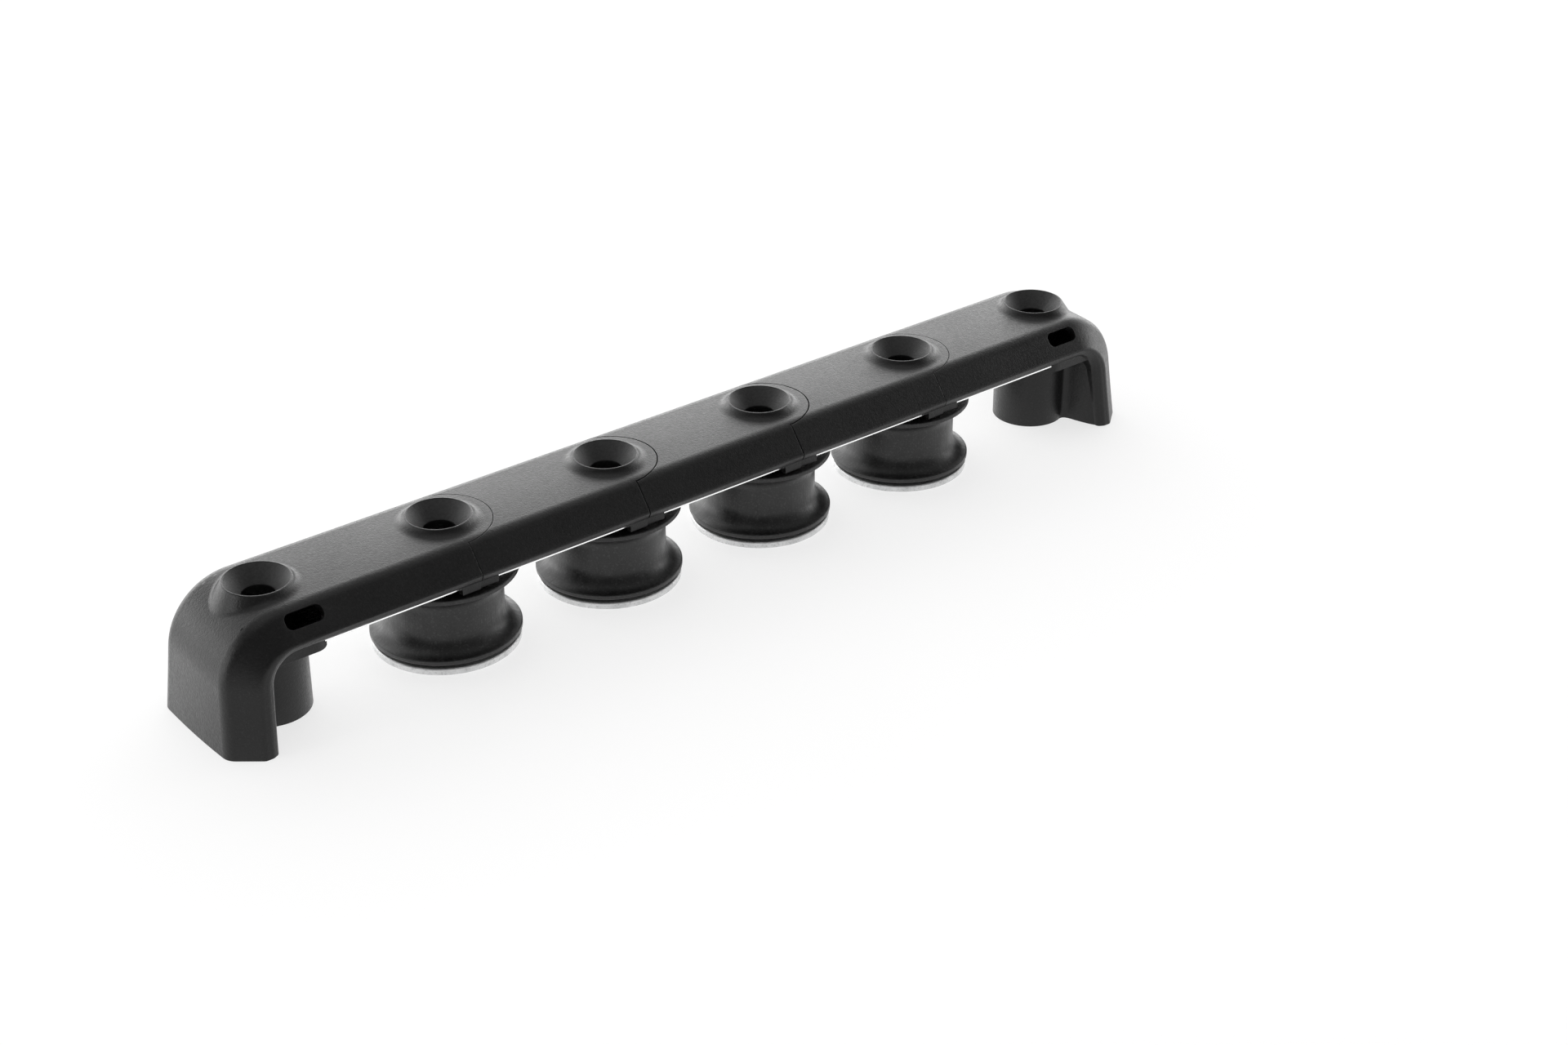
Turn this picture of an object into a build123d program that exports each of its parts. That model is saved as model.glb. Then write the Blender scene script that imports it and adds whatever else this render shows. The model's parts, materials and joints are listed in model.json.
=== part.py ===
from build123d import *
from math import cos, radians, sin, sqrt, tan
import os

# ---------------------------------------------------------------------------
# Deck organiser: a row of line-turning sheaves held between the deck and one
# stainless top plate, with moulded covers over the plate and a moulded foot at
# each end.  Millimetres.  X runs along the row (left is -X), Z is up, and the
# origin is on the deck plane, midway between the two end bolts.
# ---------------------------------------------------------------------------

# --- row layout ---
pitch = 65.0                      # bolt to bolt
bolt_x = [(-2.5 + i) * pitch for i in range(6)]
sheave_x = bolt_x[1:5]            # the four inner bolts carry sheaves
end_x = bolt_x[0]                 # end modules are drawn about the left end bolt
bolt_hole_r = 5.25                # M10 clearance

# --- top plate ---
plate_top = 30.8
plate_bottom = plate_top - 1.5
plate_half_w = 21.3
plate_over = 12.6                 # plate past the end bolts
plate_corner_r = 4.0
plate_side_gap = 0.12             # clearance beside the plate
plate_end_gap = 0.4               # clearance past the plate end

# --- cover cross-section, half side ---
crown_z = 43.4                    # ridge line
crown_h = crown_z - plate_top
half_w = 24.65                    # widest, below the shoulder
shoulder_y, shoulder_h = 17.3, 12.15   # top of the shoulder, height above the plate
shoulder_drop = 8.6               # height of the shoulder bevel
under_h, under_w = 2.5, 1.2       # bevel along the lower edge
top_round, side_round, under_round = 5.5, 2.0, 2.0
wall = 2.8
hollow_half_w = 20.9
cover_plan_half_w = 40.0          # clear of the cover on both sides
hollow_plan_z = plate_top - 1     # start of the cuts that shape the covers

# --- bolt bosses on the covers ---
rim_z = 45.5                      # countersink rims
rim_r = 10.45                     # countersink mouth
rim_land = 0.45                   # narrow lip round the mouth
rim_round = 0.5
boss_slope = 0.65                 # flank run per unit of drop
boss_blend, end_boss_blend = 4.0, 3.0
boss_foot_z = plate_top + 6       # flanks run down to here, inside the cover
end_boss_foot_z = plate_top + 0.5
boss_core_r, boss_core_h = 10.2, 24   # boss core kept inside the hollow
boss_core_z = plate_top + 8       # middle of the core

# --- seams between covers, half-round about each inner bolt ---
seam_r = 17.2
seam_gap = [0.24, 0.42, 0.42, 0.24]
tab_len, tab_bottom, tab_top = 6.8, 28.0, 31.4
round_tab_y, scoop_tab_y = 23.3, 22.75   # outer face: bulging and scooped seam edges

# --- end modules ---
skin_x = bolt_x[1] + 20           # inboard end of the drawn skin
arch_r = 9.4                      # arch under the cover, inside the leg
arch_offset = 0.2                 # its centre, outboard of the bolt
foot_arch_shift = 0.3             # the foot's arch sits this much further outboard
end_round_r = 23.0                # big round from the top over the end
end_round_offset = 1.4
end_round_z = crown_z - end_round_r
leg_draft, leg_in_draft = 5.5, 4.8     # degrees, outer and inner faces
foot_half_w = 27.3                # the leg widens to this at the deck
pillar_r = 13.2
pad_bottom = 27.4                 # platform under the plate end
pad_in, pad_out = 11.8, 10.6      # inboard and outboard of the bolt
pad_half_w, pad_corner_r = 22.5, 5.0
hollow_out = 4.5                  # cover hollow runs this far outboard of the bolt

# (height, extra half width) of the leg sides, top to deck
leg_widening = [(60, 0), (52, 0), (44, 0), (36, 0), (29, 0.12), (20, 0.72), (10, 1.62),
                (0, foot_half_w - half_w)]
# (outboard of the bolt, half width) of the flare from pillar to leg
flare_pts = [(4.4, 12.45), (6.2, 12.4), (8.3, 16.4), (9.9, 21.3), (12.0, 25.3)]
flare_end = (21, 24.0)

# --- slot windows in the shoulders ---
window_l, window_h, window_corner_r = 13.0, 5.4, 2.2
window_in, window_y, window_z = 4.4, 20.0, 39.4   # inboard of the bolt, across, height
window_normal_y, window_normal_z = 0.776, 0.63
window_cut_out, window_cut_in = 8, 7.5

# --- sheaves and their axles ---
washer_top = 2.4
thrust_low_top = washer_top + 1.2
thrust_up_z0 = plate_bottom - 1.7
axial_gap = 0.05                  # hub to thrust washers
hub_z0, hub_z1 = thrust_low_top + axial_gap, thrust_up_z0 - axial_gap
sheave_z0, sheave_z1 = 3.8, 27.5
sheave_r, sheave_root_r = 24.8, 19.4
hub_r, relief_r = 13.0, 21.8
relief_depth, relief_run = 0.9, 0.6
groove_r, groove_inset = 6.3, 7.9      # inset of the groove arc centres from each face
sheave_edge_r = 0.35
axle_r = 7.5
running = 0.05                    # radial running clearance
washer_bore_r = axle_r + 0.1
bush_out_r = 9.6
base_washer_r, thrust_low_r, thrust_up_r = 24.4, 22.4, 13.6

# plain rings about a bolt: inner radius, outer radius, bottom, top, outer bevel
axle_ring = (bolt_hole_r, axle_r, 0, plate_bottom, 0.25)
sheave_rings = {
    "base_washer": (washer_bore_r, base_washer_r, 0, washer_top, 0.3),
    "lower_thrust_washer": (washer_bore_r, thrust_low_r, washer_top, thrust_low_top, 0.15),
    "upper_thrust_washer": (washer_bore_r, thrust_up_r, thrust_up_z0, plate_bottom, 0.15),
    "axle_tube": axle_ring,
    "sheave_bush": (axle_r + running, bush_out_r, hub_z0, hub_z1, 0.2),
}

os.makedirs("parts", exist_ok=True)


def write_part(part, name):
    part.label = name
    export_step(part, "parts/" + name + ".step")


def across_plane(x, z=0):
    # plane across the row, drawn as (y, height above z)
    return Plane(origin=(x, 0, z), x_dir=(0, 1, 0), z_dir=(1, 0, 0))


def radial_plane(x):
    # plane through a bolt axis, drawn as (radius, z)
    return Plane(origin=(x, 0, 0), x_dir=(1, 0, 0), z_dir=(0, -1, 0))


def bolt_axis(x):
    return Axis((x, 0, 0), (0, 0, 1))


# ---------------------------------------------------------------------------
# Profiles and features shared by the covers
# ---------------------------------------------------------------------------
def corner_arc(before, corner, after, radius):
    # tangent arc rounding a corner: start, middle and end points
    corner = Vector(*corner)
    to_before = (Vector(*before) - corner).normalized()
    to_after = (Vector(*after) - corner).normalized()
    half_angle = radians(to_before.get_angle(to_after)) / 2
    setback = radius / tan(half_angle)
    centre = corner + (to_before + to_after).normalized() * (radius / sin(half_angle))
    middle = centre + (corner - centre).normalized() * radius
    return corner + to_before * setback, middle, corner + to_after * setback


def hollow_section(x):
    # hollow under the cover skin, drawn across the row at x
    roof = (shoulder_y - 1.5, shoulder_h - wall)
    side, foot = (hollow_half_w, 2.6), (20.6, 0)
    lead = (roof[0] - 5, roof[1] + 0.3)
    roof_arc = corner_arc(lead, roof, side, 2.5)
    side_arc = corner_arc(roof, side, foot, 1.5)
    roof_y, roof_h = roof_arc[0].X, roof_arc[0].Y
    with BuildSketch(across_plane(x, plate_top)) as section:
        with BuildLine():
            for s in (1, -1):
                upper = [(s * p.X, p.Y) for p in roof_arc]
                lower = [(s * p.X, p.Y) for p in side_arc]
                ThreePointArc(*upper)
                Line(upper[2], lower[0])
                ThreePointArc(*lower)
                Line(lower[2], (s * foot[0], 0))
            ThreePointArc((-roof_y, roof_h), (0, crown_h - wall), (roof_y, roof_h))
            Line((-foot[0], 0), (foot[0], 0))
        make_face()
    return section.sketch


def plan_region(z, x_start, x_end, half_width, bulge=None, scoop=None):
    # plan of a cover from x_start to x_end; bulge and scoop are (x, radius)
    # circles added at its right and cut from it
    with BuildSketch(Plane.XY.offset(z)) as plan:
        with Locations(((x_start + x_end) / 2, 0)):
            Rectangle(x_end - x_start, 2 * half_width)
        if bulge:
            with Locations((bulge[0], 0)):
                Circle(bulge[1])
        if scoop:
            with Locations((scoop[0], 0)):
                Circle(scoop[1], mode=Mode.SUBTRACT)
    return plan.sketch


def middle_plan(left_x, right_x, left_gap, right_gap, inset, half_width):
    # middle cover between its two seams, shrunk by an inset
    left = left_gap / 2 + inset
    right = right_gap / 2 + inset
    return plan_region(hollow_plan_z, left_x + left, right_x - right, half_width,
                       bulge=(right_x, seam_r - right), scoop=(left_x, seam_r + left))


def boss_profile(x, foot_z):
    # solid boss with its flank running out and down to foot_z
    top_r = rim_r + rim_land
    with BuildSketch(radial_plane(x)) as profile:
        with BuildLine():
            Polyline((0, foot_z), (top_r + (rim_z - foot_z) * boss_slope, foot_z),
                     (top_r, rim_z), (0, rim_z), (0, foot_z))
        make_face()
        fillet([v for v in profile.vertices()
                if abs(v.X - top_r) < 0.02 and abs(v.Y - rim_z) < 0.02], rim_round)
    return profile.sketch


def boss_blend_edges(part, x):
    # where the flank of the boss meets the cover
    flanks = part.faces().filter_by(GeomType.CONE).filter_by(lambda f: abs(f.center().X - x) < 18)
    return [e for f in flanks for e in f.edges()
            if e.geom_type != GeomType.LINE
            and e.bounding_box().max.Z < 44.0 and e.bounding_box().min.Z > 32]


def add_boss(part, x, foot_z, blend):
    revolve(boss_profile(x, foot_z), axis=bolt_axis(x))
    fillet(boss_blend_edges(part, x), blend)


def keep_boss_core(x):
    # leave the core of a boss standing in the hollow
    with Locations((x, 0, boss_core_z)):
        Cylinder(boss_core_r, boss_core_h, mode=Mode.SUBTRACT)


def cut_bolt_hole(x, depth):
    with Locations((x, 0, rim_z)):
        CounterSinkHole(bolt_hole_r, rim_r, depth=depth, counter_sink_angle=90)


def add_tabs(x_seam, side, gap, outer_y):
    # clip tabs left (-1) or right (1) of a seam, hooked just under the plate
    # edge, at both edges of the row
    x_start = x_seam - gap / 2 - tab_len if side < 0 else x_seam + gap / 2
    inner_y = plate_half_w + plate_side_gap
    outline = [(inner_y, tab_top), (inner_y, 29.2), (20.7, 29.2), (20.7, 28.6),
               (21.2, tab_bottom), (outer_y - 0.3, tab_bottom),
               (outer_y, tab_bottom + 0.4), (outer_y, tab_top), (inner_y, tab_top)]
    for s in (-1, 1):
        with BuildSketch(across_plane(x_start)) as tab:
            with BuildLine():
                Polyline(*[(s * y, z) for y, z in outline])
            make_face()
        extrude(tab.sketch, amount=tab_len)


# ---------------------------------------------------------------------------
# Outer skin of an end module, drawn for the end whose outboard side is -X:
# straight run, round over the end, leg down to the deck.  The middle covers
# use its cross-section.
# ---------------------------------------------------------------------------
def arch_points(shift):
    # side view (x, z) of the arch and the leg's inner face, moved outboard by
    # shift: arch top, middle and end, then the leg's toe on the deck
    x_centre = end_x - arch_offset - shift
    z_centre = plate_top - arch_r
    draft = radians(leg_in_draft)
    top = (x_centre, plate_top)
    middle = (x_centre - arch_r * sin(radians(45)), z_centre + arch_r * cos(radians(45)))
    end = (x_centre - arch_r * cos(draft), z_centre + arch_r * sin(draft))
    toe = (end[0] - end[1] * tan(draft), 0)
    return top, middle, end, toe


def widening_profile(x, inset):
    # outline across the row: straight sides, widening towards the deck
    sides = [(half_w - inset + extra, z) for z, extra in leg_widening]
    top_y, deck_y = sides[0][0], sides[-1][0]
    with BuildSketch(Plane.YZ.offset(x)) as profile:
        with BuildLine():
            for s in (1, -1):
                Spline(*[(s * y, z) for y, z in sides])
            Line((top_y, 60), (-top_y, 60))
            Line((deck_y, 0), (-deck_y, 0))
        make_face()
    return profile.sketch


def slab():
    # crowned slab along the row, turned down over the end, its inner side
    # cut to the arch under the cover and to the leg
    round_x = end_x - end_round_offset
    blank_y = 30.0
    edge_z = crown_z - (crown_h - shoulder_h) * (blank_y / shoulder_y) ** 2
    bottom_z = end_round_z + 5
    top, middle, end, toe = arch_points(0)
    with BuildPart() as body:
        with BuildSketch(across_plane(round_x)) as across:
            with BuildLine():
                ThreePointArc((-blank_y, edge_z), (0, crown_z), (blank_y, edge_z))
                Polyline((blank_y, edge_z), (blank_y, bottom_z),
                         (-blank_y, bottom_z), (-blank_y, edge_z))
            make_face()
        extrude(across.sketch, amount=skin_x - round_x)
        revolve(across.sketch, axis=Axis((round_x, 0, end_round_z), (0, -1, 0)),
                revolution_arc=90 - leg_draft)
        extrude(body.faces().filter_by(GeomType.PLANE).sort_by(Axis.Z)[0], amount=32)
        with BuildSketch(Plane.XZ.offset(-40)) as side:
            with BuildLine():
                Polyline((skin_x, 60), (skin_x, plate_top), top)
                ThreePointArc(top, middle, end)
                Polyline(end, toe, (end_x - 40, 0), (end_x - 40, 60), (skin_x, 60))
            make_face()
        extrude(side.sketch, amount=80, mode=Mode.INTERSECT)
        extrude(widening_profile(skin_x + 5, 0), amount=-140, mode=Mode.INTERSECT)
    return body.part


def side_face(part, s):
    return part.faces().filter_by(lambda f: f.center().Y * s > 20).sort_by(SortBy.AREA)[-1]


def is_outer_rim(edge):
    # upper edge of a side face: straight run, round over the end, leg
    c = edge.center()
    return edge.length > 10 and ((edge.length > 50 and c.Z > 40)
                                 or (c.X < end_x - 12 and c.Z > 30)
                                 or (c.X < end_x - 22 and edge.length > 15))


def is_shoulder_top(edge):
    return edge.length > 8 and 15 < abs(edge.center().Y) < 20 and edge.center().Z > 3


def is_shoulder_side(edge):
    c = edge.center()
    return (edge.length > 8 and abs(c.Y) > 24 and c.Z > 3
            and ((abs(c.Z - 34) < 1.2 and edge.length > 60)
                 or (c.X < end_x - 8 and c.Z > 28)
                 or c.X < end_x - 15))


def is_inner_rim(edge):
    # lower edge of a side face: straight run, arch, inner edge of the leg
    c = edge.center()
    return ((abs(c.Z - plate_top) < 0.05 and edge.length > 50)
            or (8 < c.Z < 30.6 and end_x - 16 < c.X < end_x))


def is_under_bevel_side(edge):
    c = edge.center()
    return (abs(c.Y) > 24.4 and edge.length > 4
            and (abs(c.Z - plate_top - under_h) < 0.4
                 or (end_x - 16 < c.X < end_x + 1 and 5 < c.Z < 33.2)))


def bevelled_slab(is_rim, length, length2):
    # slab with the chosen rim of both side faces bevelled
    with BuildPart() as bevelled:
        add(slab())
        for s in (1, -1):
            face = side_face(bevelled, s)
            rim = [e for e in face.edges() if is_rim(e)]
            chamfer(rim, length=length, length2=length2, reference=face)
    return bevelled.part


def end_skin():
    # The outer and lower bevels are made on separate slabs, then intersected.
    with BuildPart() as topped:
        add(bevelled_slab(is_outer_rim, shoulder_drop, half_w - shoulder_y))
        fillet([e for e in topped.edges() if is_shoulder_top(e)], top_round)
    with BuildPart() as outer:
        add(topped.part)
        fillet([e for e in outer.edges() if is_shoulder_side(e)], side_round)
    with BuildPart() as inner:
        add(bevelled_slab(is_inner_rim, under_h, under_w))
        fillet([e for e in inner.edges() if is_under_bevel_side(e)], under_round)
        add(outer.part, mode=Mode.INTERSECT)
    return inner.part


# ---------------------------------------------------------------------------
# Middle covers: each runs from one inner bolt to the next and carries the
# boss at its right-hand bolt
# ---------------------------------------------------------------------------
def middle_cover(n, section_face):
    left_x, right_x = sheave_x[n], sheave_x[n + 1]
    left_gap, right_gap = seam_gap[n], seam_gap[n + 1]
    seams = (left_x, right_x, left_gap, right_gap)
    start_x = left_x - 2

    with BuildPart() as hollow:
        extrude(hollow_section(start_x), amount=pitch + 22)
        extrude(middle_plan(*seams, wall, hollow_half_w), amount=20, mode=Mode.INTERSECT)
        keep_boss_core(right_x)

    with BuildPart() as cover:
        extrude(section_face.moved(Location((start_x - skin_x, 0, 0))), amount=pitch + 24,
                dir=(1, 0, 0))
        add_boss(cover, right_x, boss_foot_z, boss_blend)
        extrude(middle_plan(*seams, 0, cover_plan_half_w), amount=30, mode=Mode.INTERSECT)
        add(hollow.part, mode=Mode.SUBTRACT)
        add_tabs(right_x, -1, right_gap, round_tab_y)
        add_tabs(left_x, 1, left_gap, scoop_tab_y)
        cut_bolt_hole(right_x, rim_z)
    return cover.part


# ---------------------------------------------------------------------------
# End modules: cover, bolt boss, foot, pillar and plate slot in one moulding.
# Both are drawn at the left end.  The long one bulges round the inner bolt
# and carries its boss; the short one is scooped clear of it.
# ---------------------------------------------------------------------------
def foot_plan():
    # pillar round the bolt and the flare running out to the inner edge of the leg
    with BuildSketch(Plane.XY) as plan:
        with Locations((end_x, 0)):
            Circle(pillar_r)
        with BuildLine():
            flare = Spline(*[(end_x - out, y) for out, y in flare_pts])
            back = Spline(*[(end_x - out, -y) for out, y in flare_pts])
            Polyline(flare @ 1, (end_x - flare_end[0], flare_end[1]),
                     (end_x - flare_end[0], -flare_end[1]), back @ 1)
            Line(flare @ 0, back @ 0)
        make_face()
    return plan.sketch


def under_arch():
    # side view of the space under the arch and inboard of the leg
    top, middle, end, toe = arch_points(foot_arch_shift)
    with BuildSketch(Plane.XZ.offset(-40)) as side:
        with BuildLine():
            Polyline(toe, (end_x + 40, 0), (end_x + 40, plate_top), top)
            ThreePointArc(top, middle, end)
            Line(end, toe)
        make_face()
    return side.sketch


def end_foot():
    # pillar, flare and the platform under the plate end
    with BuildPart() as foot:
        extrude(foot_plan(), amount=plate_top)
        extrude(widening_profile(end_x + 60, under_w + 0.08), amount=-140, mode=Mode.INTERSECT)
        extrude(under_arch(), amount=80, mode=Mode.INTERSECT)
        with BuildSketch(Plane.XY.offset(pad_bottom)) as pad:
            with Locations((end_x + (pad_in - pad_out) / 2, 0)):
                Rectangle(pad_in + pad_out, 2 * pad_half_w)
            fillet(pad.vertices().sort_by(Axis.X)[-2:], pad_corner_r)
        extrude(pad.sketch, amount=plate_top - pad_bottom)
    return foot.part


def end_hollow(seam_x, gap, long_run):
    hollow_x = end_x - hollow_out
    inset = gap / 2 + wall
    if long_run:
        plan = plan_region(hollow_plan_z, hollow_x, seam_x - inset, hollow_half_w,
                           bulge=(seam_x, seam_r - inset))
    else:
        plan = plan_region(hollow_plan_z, hollow_x, seam_x, 30,
                           scoop=(seam_x, seam_r + inset))
    with BuildPart() as hollow:
        extrude(hollow_section(end_x - 40), amount=pitch + 62)
        extrude(plan, amount=20, mode=Mode.INTERSECT)
        if long_run:
            keep_boss_core(seam_x)
        keep_boss_core(end_x)
        # keep the skin over the falling end
        with Locations((hollow_x - 17, 0, plate_top + 8)):
            Box(34, 80, 40, mode=Mode.SUBTRACT)
    return hollow.part


def end_cover(skin, gap, long_run):
    seam_x = sheave_x[0]
    if long_run:
        seam_circle = {"bulge": (seam_x, seam_r - gap / 2)}
    else:
        seam_circle = {"scoop": (seam_x, seam_r + gap / 2)}
    with BuildPart() as end:
        add(skin)
        add_boss(end, end_x, end_boss_foot_z, end_boss_blend)
        if long_run:
            add_boss(end, seam_x, boss_foot_z, boss_blend)
        extrude(plan_region(-1, end_x - 60, seam_x - gap / 2, cover_plan_half_w, **seam_circle),
                amount=60, mode=Mode.INTERSECT)
        add(end_foot())
        add(end_hollow(seam_x, gap, long_run), mode=Mode.SUBTRACT)
        add_tabs(seam_x, -1, gap, round_tab_y if long_run else scoop_tab_y)
        # slot that takes the plate end
        with BuildSketch(Plane.XY.offset(plate_bottom)) as slot:
            with Locations((end_x + 20 - plate_over / 2, 0)):
                Rectangle(40 + plate_over + plate_end_gap, 2 * (plate_half_w + plate_side_gap))
            fillet(slot.vertices().sort_by(Axis.X)[:2], plate_corner_r)
        extrude(slot.sketch, amount=plate_top - plate_bottom, mode=Mode.SUBTRACT)
        # bolt holes, and the socket for the spacer tube
        cut_bolt_hole(end_x, rim_z)
        with Locations((end_x, 0, plate_bottom / 2)):
            Cylinder(axle_r, plate_bottom, mode=Mode.SUBTRACT)
        if long_run:
            cut_bolt_hole(seam_x, rim_z - 5)
        # slot windows through both shoulders
        for s in (1, -1):
            window_plane = Plane(origin=(end_x + window_in, s * window_y, window_z),
                                 x_dir=(1, 0, 0),
                                 z_dir=(0, s * window_normal_y, window_normal_z))
            with BuildSketch(window_plane) as window:
                RectangleRounded(window_l, window_h, window_corner_r)
            extrude(window.sketch, amount=window_cut_out, mode=Mode.SUBTRACT)
            extrude(window.sketch, amount=-window_cut_in, mode=Mode.SUBTRACT)
    return end.part


# ---------------------------------------------------------------------------
# Stainless top plate
# ---------------------------------------------------------------------------
def top_plate():
    with BuildPart() as plate:
        with BuildSketch(Plane.XY.offset(plate_bottom)):
            RectangleRounded(2 * (bolt_x[5] + plate_over), 2 * plate_half_w, plate_corner_r)
            with Locations([(x, 0) for x in bolt_x]):
                Circle(bolt_hole_r, mode=Mode.SUBTRACT)
        extrude(amount=plate_top - plate_bottom)
    return plate.part


# ---------------------------------------------------------------------------
# Turned parts, drawn as half sections and revolved about each bolt axis
# ---------------------------------------------------------------------------
def ring(x, r_in, r_out, z0, z1, bevel):
    # flat ring with a small bevel on its outer corners
    with BuildPart() as part:
        with BuildSketch(radial_plane(x)) as half:
            with BuildLine():
                Polyline((r_in, z0), (r_out - bevel, z0), (r_out, z0 + bevel),
                         (r_out, z1 - bevel), (r_out - bevel, z1), (r_in, z1), (r_in, z0))
            make_face()
        revolve(half.sketch, axis=bolt_axis(x))
    return part.part


def sheave(x):
    # deep line groove between two flanges, relieved faces and a proud hub
    low_z, high_z = sheave_z0 + groove_inset, sheave_z1 - groove_inset
    centre_r = sheave_root_r + groove_r
    lip = sqrt(groove_r ** 2 - (centre_r - sheave_r) ** 2)
    diagonal = groove_r * sin(radians(45))
    low_relief, high_relief = sheave_z0 + relief_depth, sheave_z1 - relief_depth
    with BuildPart() as wheel:
        with BuildSketch(radial_plane(x)) as half:
            with BuildLine():
                Polyline((bush_out_r, hub_z0), (hub_r, hub_z0), (hub_r + relief_run, low_relief),
                         (relief_r - relief_run, low_relief), (relief_r, sheave_z0),
                         (sheave_r, sheave_z0), (sheave_r, low_z - lip))
                ThreePointArc((sheave_r, low_z - lip), (centre_r - diagonal, low_z - diagonal),
                              (sheave_root_r, low_z))
                Line((sheave_root_r, low_z), (sheave_root_r, high_z))
                ThreePointArc((sheave_root_r, high_z), (centre_r - diagonal, high_z + diagonal),
                              (sheave_r, high_z + lip))
                Polyline((sheave_r, high_z + lip), (sheave_r, sheave_z1), (relief_r, sheave_z1),
                         (relief_r - relief_run, high_relief), (hub_r + relief_run, high_relief),
                         (hub_r, hub_z1), (bush_out_r, hub_z1), (bush_out_r, hub_z0))
            make_face()
            fillet([v for v in half.vertices() if abs(v.X - sheave_r) < 0.02], sheave_edge_r)
        revolve(half.sketch, axis=bolt_axis(x))
    return wheel.part


# ---------------------------------------------------------------------------
# Build and write every piece
# ---------------------------------------------------------------------------
skin = end_skin()
section_face = skin.faces().filter_by(GeomType.PLANE).sort_by(Axis.X)[-1]

for n in range(3):
    write_part(middle_cover(n, section_face), f"mid_cover_{n + 1}")

write_part(end_cover(skin, seam_gap[0], long_run=True), "end_cover_left")
right_cover = end_cover(skin, seam_gap[3], long_run=False)
write_part(right_cover.mirror(Plane.YZ), "end_cover_right")

write_part(top_plate(), "top_plate")

for n, x in enumerate(sheave_x, start=1):
    for name, sizes in sheave_rings.items():
        write_part(ring(x, *sizes), f"{name}_{n}")
    write_part(sheave(x), f"sheave_{n}")

write_part(ring(bolt_x[0], *axle_ring), "end_spacer_left")
write_part(ring(bolt_x[5], *axle_ring), "end_spacer_right")
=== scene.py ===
# A row of sheaves between metal plates and a black cover, on bolts spaced evenly along X.
# The row is centred on X = 0 with its bolt axes on Y = 0, and it rests on the floor at Z = 0.
# The camera looks from the front left (-X, -Y) and from above. Metres, +Z up.
import json

import bpy
from mathutils import Matrix, Vector

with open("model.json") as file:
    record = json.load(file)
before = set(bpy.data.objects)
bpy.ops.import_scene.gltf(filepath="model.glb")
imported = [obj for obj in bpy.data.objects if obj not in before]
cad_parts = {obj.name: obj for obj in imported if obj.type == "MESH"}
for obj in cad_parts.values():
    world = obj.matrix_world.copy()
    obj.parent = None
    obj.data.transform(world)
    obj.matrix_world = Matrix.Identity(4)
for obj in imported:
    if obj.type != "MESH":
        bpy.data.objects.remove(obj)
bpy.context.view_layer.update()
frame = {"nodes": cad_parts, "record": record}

scene = bpy.context.scene

PITCH = 0.065                     # between bolt axes
FIRST_BOLT_X = -2.5 * PITCH       # left end bolt
CRATER_LIGHT_RADIUS = (0.0101, 0.0105)    # rim of a countersink in the cover, from inside to outside; painted light fills inside it
CRATER_LIGHT_HEIGHT = (0.0395, 0.0407)    # the painted crater light fades in between these heights

NOISE_SPAN = (0.3, 0.7)           # the range that most noise values fall in
WHITE = (1.0, 1.0, 1.0)


# ---------------------------------------------------------------------------
# Node helpers
# ---------------------------------------------------------------------------
class Nodes:
    """The node tree of a material or world. A value may be a number or an output socket."""

    def __init__(self, owner):
        owner.use_nodes = True
        self.tree = owner.node_tree
        self.tree.nodes.clear()

    def node(self, kind, **settings):
        node = self.tree.nodes.new("ShaderNode" + kind)
        for key, value in settings.items():
            setattr(node, key, value)
        return node

    def put(self, socket, value):
        if hasattr(value, "is_output"):
            self.tree.links.new(value, socket)
        else:
            socket.default_value = value

    def math(self, operation, *values):
        node = self.node("Math", operation=operation)
        for socket, value in zip(node.inputs, values):
            self.put(socket, value)
        return node.outputs[0]

    def add(self, first, second):
        return self.math("ADD", first, second)

    def times(self, value, by):
        return self.math("MULTIPLY", value, by)

    def remap(self, value, span=NOISE_SPAN, to=(0.0, 1.0)):
        node = self.node("MapRange", clamp=True)
        self.put(node.inputs["Value"], value)
        names = ("From Min", "From Max", "To Min", "To Max")
        for name, limit in zip(names, (*span, *to)):
            node.inputs[name].default_value = limit
        return node.outputs[0]

    def combine(self, *parts):
        node = self.node("CombineXYZ")
        for socket, part in zip(node.inputs, parts):
            self.put(socket, part)
        return node.outputs[0]

    def split(self, vector):
        node = self.node("SeparateXYZ")
        self.put(node.inputs[0], vector)
        return tuple(node.outputs)

    def ray_switch(self, ray, yes, no):
        # one value for rays of the named kind, another for the rest
        path = self.node("LightPath")
        return self.add(no, self.times(path.outputs[ray], by=self.math("SUBTRACT", yes, no)))


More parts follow.
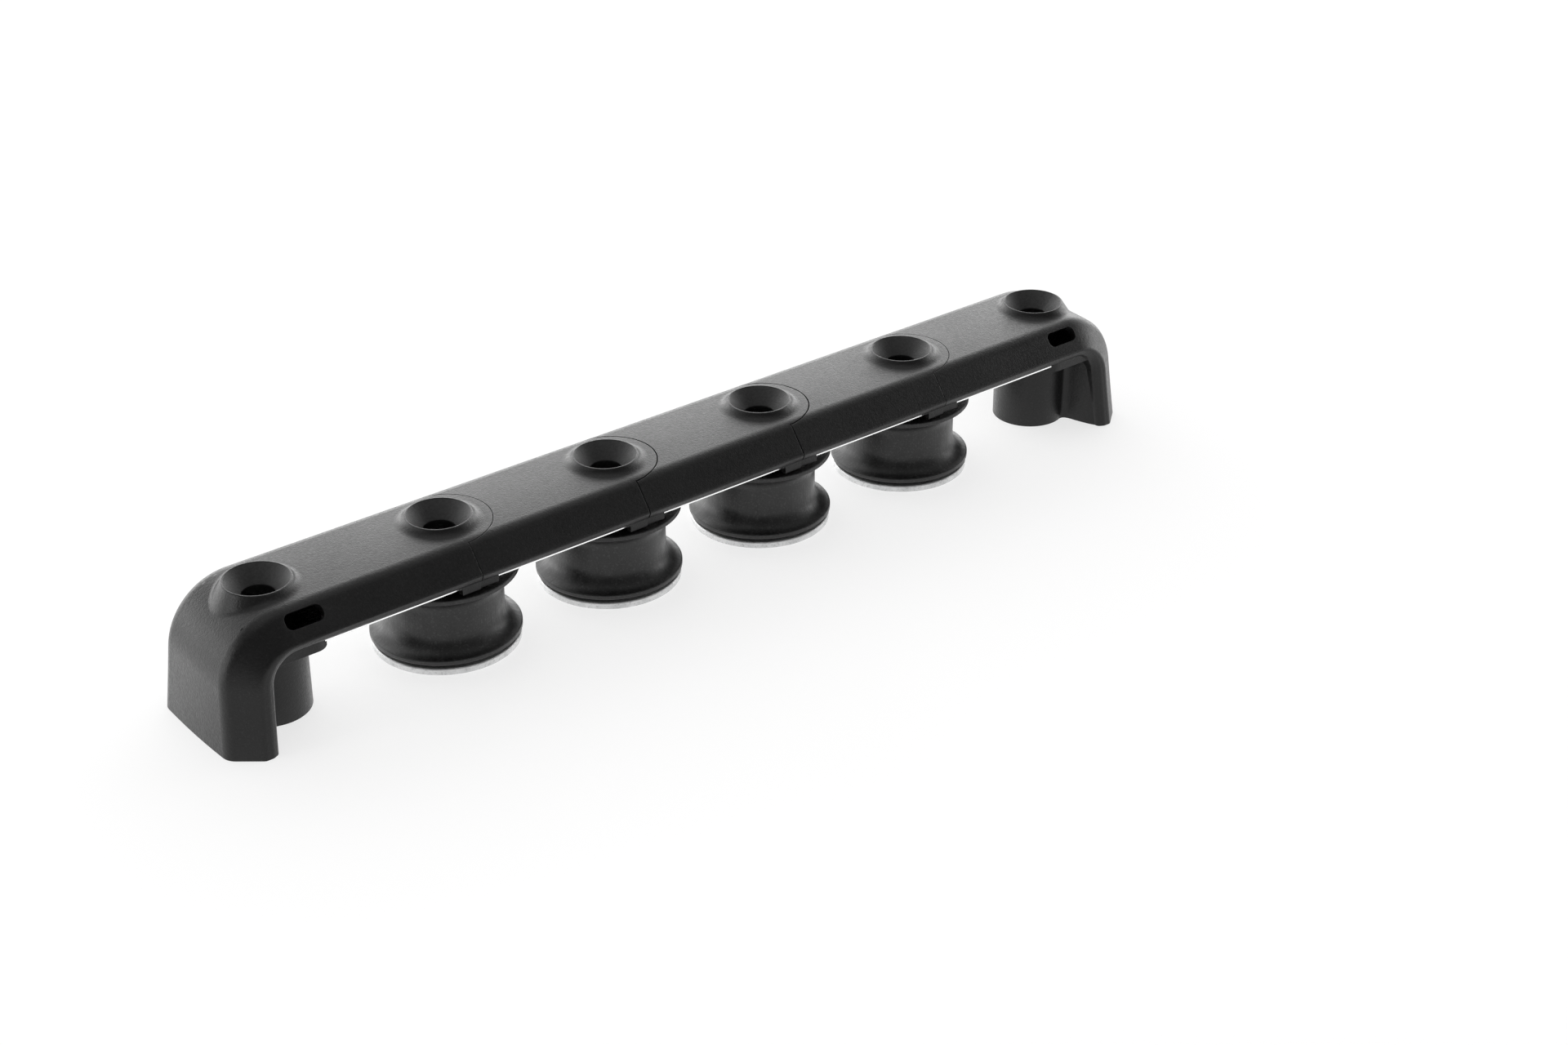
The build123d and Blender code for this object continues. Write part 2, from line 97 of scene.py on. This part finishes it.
class Look(Nodes):
    """A material built round one Principled shader."""

    def __init__(self, name):
        self.material = bpy.data.materials.new(name)
        super().__init__(self.material)
        out = self.node("OutputMaterial")
        self.bsdf = self.node("BsdfPrincipled")
        self.tree.links.new(self.bsdf.outputs["BSDF"], out.inputs["Surface"])

    def place(self):
        return self.node("TexCoord").outputs["Object"]

    def noise(self, vector, scale, detail=3.0, rough=0.55):
        node = self.node("TexNoise")
        self.put(node.inputs["Vector"], vector)
        node.inputs["Scale"].default_value = scale
        node.inputs["Detail"].default_value = detail
        node.inputs["Roughness"].default_value = rough
        return node.outputs[0]

    def stretched_noise(self, axes, scales, detail=3.0, rough=0.55):
        # each axis has its own scale; None leaves the axis as it is
        parts = [axis if scale is None else self.times(axis, by=scale)
                 for axis, scale in zip(axes, scales)]
        return self.noise(self.combine(*parts), scale=1.0, detail=detail, rough=rough)

    def mix(self, fac, low, high):
        node = self.node("Mix", data_type="RGBA")
        for index, value in ((0, fac), (6, low), (7, high)):
            self.put(node.inputs[index], value)
        return node.outputs[2]

    def from_bolt(self, x, y):
        # x from the nearest bolt axis, radius about it, and place along the row in pitches
        row_start = FIRST_BOLT_X - PITCH / 2
        cell = self.math("DIVIDE", self.math("SUBTRACT", x, row_start), PITCH)
        centred = self.math("SUBTRACT", self.math("FRACT", cell), 0.5)
        offset = self.times(centred, by=PITCH)
        squares = self.add(self.times(offset, by=offset), self.times(y, by=y))
        return offset, self.math("SQRT", squares), cell

    def turned_axes(self, place):
        # angle about the nearest bolt, height, and radius
        x, y, z = self.split(place)
        offset, radius, _ = self.from_bolt(x, y)
        return self.math("ARCTAN2", y, offset), z, radius

    def limit_sheen(self, level):
        # rough mouldings shade themselves at glancing angles, so the shine dies away there
        node = self.node("LayerWeight")
        node.inputs["Blend"].default_value = 0.5
        fade = self.remap(node.outputs["Facing"], span=(0.72, 0.96), to=(level, level * 0.12))
        self.set(Specular_IOR_Level=fade)

    def relief(self, height, depth, strength, edge):
        # bumps over edges softened to the given radius
        bevel = self.node("Bevel", samples=6)
        bevel.inputs["Radius"].default_value = edge
        bump = self.node("Bump")
        bump.inputs["Strength"].default_value = strength
        bump.inputs["Distance"].default_value = depth
        self.put(bump.inputs["Height"], height)
        self.put(bump.inputs["Normal"], bevel.outputs[0])
        self.set(Normal=bump.outputs[0])

    def set(self, **values):
        for name, value in values.items():
            self.put(self.bsdf.inputs[name.replace("_", " ")], value)


def grey(value, tint=WHITE):
    return (*(value * part for part in tint), 1.0)


# ---------------------------------------------------------------------------
# Materials
# ---------------------------------------------------------------------------
def cover_composite():
    # black glass-filled moulding with an even spark-eroded grain
    m = Look("cover_composite_look")
    place = m.place()
    x, y, z = m.split(place)
    grain = m.noise(place, scale=2300.0, detail=2.0, rough=0.6)
    pits = m.noise(place, scale=1000.0, rough=0.6)
    cloud = m.noise(place, scale=38.0, rough=0.5)
    fleck = m.remap(m.noise(place, scale=1500.0, detail=2.0, rough=0.6), span=(0.56, 0.70))
    base = m.mix(m.remap(cloud), low=grey(0.0042, tint=(1.0, 0.985, 1.0)),
                 high=grey(0.0058, tint=(1.0, 0.98, 0.99)))
    base = m.mix(m.times(fleck, by=0.5), low=base, high=grey(0.018))

    # countersinks: painted light, a paler colour that lifts their shaded interiors, and a more
    # matt finish there
    _, radius, _ = m.from_bolt(x, y)
    crater_light_mask = m.times(m.remap(radius, span=CRATER_LIGHT_RADIUS, to=(1.0, 0.0)),
                   by=m.remap(z, span=CRATER_LIGHT_HEIGHT))
    crater_light_colour = m.mix(m.remap(pits, span=(0.35, 0.65)), low=grey(0.024), high=grey(0.036))
    # painted light: the paler colour takes over inside the countersinks
    base = m.mix(crater_light_mask, low=base, high=crater_light_colour)

    # sharp edges worn a little paler
    pointiness = m.node("NewGeometry").outputs["Pointiness"]
    worn = m.remap(pointiness, span=(0.53, 0.62), to=(0.0, 0.35))
    base = m.mix(worn, low=base, high=grey(0.020))

    rough_extra = m.add(m.remap(cloud, to=(-0.02, 0.03)), m.times(crater_light_mask, by=0.14))
    m.set(Base_Color=base, Roughness=m.add(m.remap(pits, to=(0.30, 0.43)), rough_extra))
    m.relief(m.add(m.times(grain, by=0.6), m.times(pits, by=0.6)),
             depth=0.00013, strength=0.9, edge=0.00018)
    m.limit_sheen(0.29)
    return m.material


def stainless_plate():
    # bright rolled sheet with a long grain along X
    m = Look("stainless_plate_look")
    place = m.place()
    brush = m.stretched_noise(m.split(place), scales=(60.0, 5200.0, 5200.0), rough=0.6)
    cloud = m.noise(place, scale=70.0, rough=0.5)
    m.set(Base_Color=m.mix(m.remap(brush), low=grey(0.88), high=grey(0.96)),
          Roughness=m.add(m.remap(brush, to=(0.18, 0.28)), m.remap(cloud, to=(-0.03, 0.04))),
          Metallic=1.0)
    m.relief(brush, depth=0.00003, strength=0.5, edge=0.00025)
    return m.material


def sheave_composite():
    # black fibre-filled acetal, turned: fine rings on the flanges, faint
    # upright streaks round the line grooves
    m = Look("sheave_composite_look")
    place = m.place()
    x, y, z = m.split(place)
    offset, radius, cell = m.from_bolt(x, y)
    angle = m.math("ARCTAN2", y, offset)
    which_bolt = m.math("FLOOR", cell)
    streak = m.stretched_noise((angle, z, which_bolt), scales=(34.0, 55.0, None),
                               detail=4.0, rough=0.65)
    blotch = m.noise(place, scale=190.0, detail=4.0, rough=0.6)
    rings = m.stretched_noise((angle, z, radius), scales=(1.5, 5200.0, 5200.0),
                              detail=2.0, rough=0.5)
    grain = m.noise(place, scale=2400.0, detail=2.0, rough=0.6)
    fleck = m.remap(m.noise(place, scale=1300.0, detail=2.0, rough=0.6), span=(0.54, 0.68))
    base = m.mix(m.remap(streak, span=(0.35, 0.7)), low=grey(0.0040),
                 high=grey(0.0085, tint=(1.0, 0.985, 0.97)))
    m.set(Base_Color=m.mix(m.times(fleck, by=0.55), low=base, high=grey(0.042)),
          Roughness=m.add(m.remap(streak, span=(0.3, 0.72), to=(0.34, 0.50)),
                          m.remap(blotch, span=(0.35, 0.65), to=(-0.04, 0.05))))
    fine = m.add(m.times(streak, by=1.0), m.times(grain, by=0.25))
    m.relief(m.add(m.times(rings, by=0.35), fine), depth=0.00008, strength=0.8, edge=0.00025)
    m.limit_sheen(0.42)
    return m.material


def smooth_polymer(name, dark, light, rough):
    # dense bearing plastic, faintly ringed by its finishing cut
    m = Look(name)
    place = m.place()
    rings = m.stretched_noise(m.turned_axes(place), scales=(3.0, 4200.0, 4200.0))
    cloud = m.noise(place, scale=240.0)
    m.set(Base_Color=m.mix(m.remap(cloud, span=(0.35, 0.65)), low=grey(dark), high=grey(light)),
          Roughness=m.add(m.remap(rings, to=rough), m.remap(cloud, to=(-0.03, 0.04))))
    m.relief(rings, depth=0.00003, strength=0.5, edge=0.00015)
    return m.material


def stainless_tube():
    # turned tube: fine rings along its length and on its ends
    m = Look("stainless_tube_look")
    place = m.place()
    rings = m.stretched_noise(m.turned_axes(place), scales=(2.0, 6500.0, 6500.0), rough=0.6)
    cloud = m.noise(place, scale=160.0, rough=0.5)
    m.set(Base_Color=m.mix(m.remap(rings), low=grey(0.55),
                           high=grey(0.72, tint=(1.0, 0.995, 0.98))),
          Roughness=m.add(m.remap(rings, to=(0.24, 0.36)), m.remap(cloud, to=(-0.04, 0.05))),
          Metallic=1.0)
    m.relief(rings, depth=0.00004, strength=0.6, edge=0.0002)
    return m.material


def base_metal():
    # pale tumbled disc with a fine speckle
    m = Look("base_metal_look")
    place = m.place()
    speck = m.noise(place, scale=1500.0, rough=0.65)
    broad = m.noise(place, scale=260.0)
    dark = m.remap(speck, span=(0.30, 0.46), to=(1.0, 0.0))
    base = m.mix(m.remap(broad), low=grey(0.52, tint=(0.99, 1.0, 1.0)), high=grey(0.68))
    m.set(Base_Color=m.mix(m.times(dark, by=0.6), low=base, high=grey(0.28)),
          Roughness=m.remap(speck, to=(0.55, 0.36)),
          Metallic=0.6)
    m.relief(m.add(m.times(speck, by=0.8), m.times(broad, by=0.5)),
             depth=0.00012, strength=0.8, edge=0.0003)
    return m.material


LOOKS = {
    "cover_composite": cover_composite(),
    "stainless_plate": stainless_plate(),
    "sheave_composite": sheave_composite(),
    "bearing_polymer": smooth_polymer("bearing_polymer_look", dark=0.020, light=0.034,
                                      rough=(0.26, 0.38)),
    "thrust_polymer": smooth_polymer("thrust_polymer_look", dark=0.006, light=0.011,
                                     rough=(0.30, 0.42)),
    "stainless_tube": stainless_tube(),
    "base_metal": base_metal(),
}
for subpart in frame["record"]["subparts"]:
    piece = frame["nodes"][subpart["node"]]
    look = LOOKS[subpart["material_slot"]]
    if not piece.material_slots:
        piece.data.materials.append(look)
    for slot in piece.material_slots:
        slot.material = look


# ---------------------------------------------------------------------------
# Floor
# ---------------------------------------------------------------------------
FLOOR_CELLS = 24                  # along each side
FLOOR_HALF = 6.0
FLOOR_Z = -0.00005                # just clear of the pieces
FLOOR_GLOW = 0.73                 # as seen directly
FLOOR_REFLECTED = (0.95, 1.8)     # as seen in reflections, in front of and behind the row
FLOOR_CHANGE_Y = (-0.035, 0.05)   # where the reflected glow goes from one to the other


def floor_look():
    # lit sweep: a steady glow to the eye, brighter behind the row in reflections
    m = Look("floor_look")
    place = m.place()
    _, y, _ = m.split(place)
    soft = m.noise(place, scale=3.0, detail=2.0, rough=0.5)
    reflected = m.remap(y, span=FLOOR_CHANGE_Y, to=FLOOR_REFLECTED)
    m.set(Base_Color=m.mix(m.remap(soft), low=grey(0.27), high=grey(0.29)),
          Roughness=0.9,
          Specular_IOR_Level=0.0,
          Emission_Color=grey(1.0),
          Emission_Strength=m.ray_switch("Is Glossy Ray", yes=reflected, no=FLOOR_GLOW))
    return m.material


def floor():
    row = FLOOR_CELLS + 1
    steps = [-FLOOR_HALF + 2 * FLOOR_HALF * i / FLOOR_CELLS for i in range(row)]
    verts = [(x, y, FLOOR_Z) for y in steps for x in steps]
    corners = [j * row + i for j in range(FLOOR_CELLS) for i in range(FLOOR_CELLS)]
    faces = [(c, c + 1, c + row + 1, c + row) for c in corners]
    mesh = bpy.data.meshes.new("floor")
    mesh.from_pydata(verts, [], faces)
    obj = bpy.data.objects.new("floor", mesh)
    scene.collection.objects.link(obj)
    mesh.materials.append(floor_look())


floor()

# ---------------------------------------------------------------------------
# Room and lights
# ---------------------------------------------------------------------------
AWAY = (0.63, 0.78, 0.0)          # level direction away from the camera
SHADE_SIDE = (0.05, -0.75, 0.66)  # up and to the front, where the room is dark
SKY_HIGH, SKY_LOW = 0.30, 4.6     # brightness high up and low down
SKY_DARK = 0.22                   # added everywhere


def studio():
    # room brightest low down, behind the row and at both sides; dark high in front
    world = bpy.data.worlds.new("studio")
    scene.world = world
    w = Nodes(world)
    out = w.node("OutputWorld")
    background = w.node("Background")
    w.put(out.inputs["Surface"], background.outputs[0])
    direction = w.node("TexCoord").outputs["Generated"]
    _, _, up = w.split(direction)

    def toward(aim):
        dot = w.node("VectorMath", operation="DOT_PRODUCT")
        w.put(dot.inputs[0], direction)
        dot.inputs[1].default_value = Vector(aim).normalized()
        return dot.outputs["Value"]

    falloff = 1.7
    low = w.math("POWER", w.remap(up, span=(0.10, 0.90), to=(1.0, 0.0)), falloff)
    bright = w.remap(low, span=(0.0, 1.0), to=(SKY_HIGH, SKY_LOW))
    open_side = w.remap(toward(AWAY), span=(-0.45, 0.35))
    shade = w.remap(toward(SHADE_SIDE), span=(0.30, 0.75), to=(1.0, 0.0))
    level = w.times(bright, by=w.math("MINIMUM", open_side, shade))
    level = w.add(level, SKY_DARK)
    horizon = w.remap(up, span=(0.02, 0.14), to=(0.75, 0.0))
    level = w.math("MAXIMUM", level, horizon)
    overhead = w.remap(up, span=(0.78, 0.96), to=(0.0, 1.1))
    level = w.math("MAXIMUM", level, overhead)
    below = w.remap(up, span=(-0.08, 0.0), to=(0.25, 1.0))
    level = w.times(level, by=below)
    # seen directly, the room is an even pale backdrop
    level = w.ray_switch("Is Camera Ray", yes=1.0, no=level)
    w.put(background.inputs["Color"], w.combine(level, level, level))
    background.inputs["Strength"].default_value = 1.0


def area_light(name, at, aim, size, power):
    data = bpy.data.lights.new(name, "AREA")
    data.shape = "RECTANGLE"
    data.size, data.size_y = size
    data.energy = power
    obj = bpy.data.objects.new(name, data)
    scene.collection.objects.link(obj)
    obj.location = at
    obj.rotation_euler = (Vector(aim) - Vector(at)).to_track_quat("-Z", "Y").to_euler()


studio()
area_light("back_box", at=(0.35, 0.75, 0.60), aim=(0, 0, 0.02), size=(1.2, 0.5), power=3.0)
area_light("left_strip", at=(-0.95, 0.15, 0.18), aim=(-0.10, 0, 0.02), size=(0.25, 0.7),
           power=2.4)

# ---------------------------------------------------------------------------
# Camera and output
# ---------------------------------------------------------------------------
CAMERA_AT = (-0.47301182, -0.63941748, 0.44842016)
# the camera's own axes: right, up, and back toward the viewer
CAMERA_AXES = (
    (0.7776317555905855, -0.6287196151648177, -0.0007058357510483847),
    (0.30518985262596343, 0.37649202517792296, 0.8747073275282248),
    (-0.5496799128140364, -0.6804156086425632, 0.48465100120016624),
)

lens = bpy.data.cameras.new("camera")
camera = bpy.data.objects.new("camera", lens)
scene.collection.objects.link(camera)
turn = Matrix(CAMERA_AXES).transposed().to_4x4()
camera.matrix_world = Matrix.Translation(CAMERA_AT) @ turn
lens.sensor_fit = "HORIZONTAL"
lens.sensor_width = 36.0          # mm
lens.lens = 60.5455               # mm
lens.clip_start = 0.01
lens.clip_end = 50.0
scene.camera = camera

scene.view_settings.view_transform = "Standard"
scene.view_settings.look = "None"
scene.view_settings.exposure = 0.0
scene.view_settings.gamma = 1.0
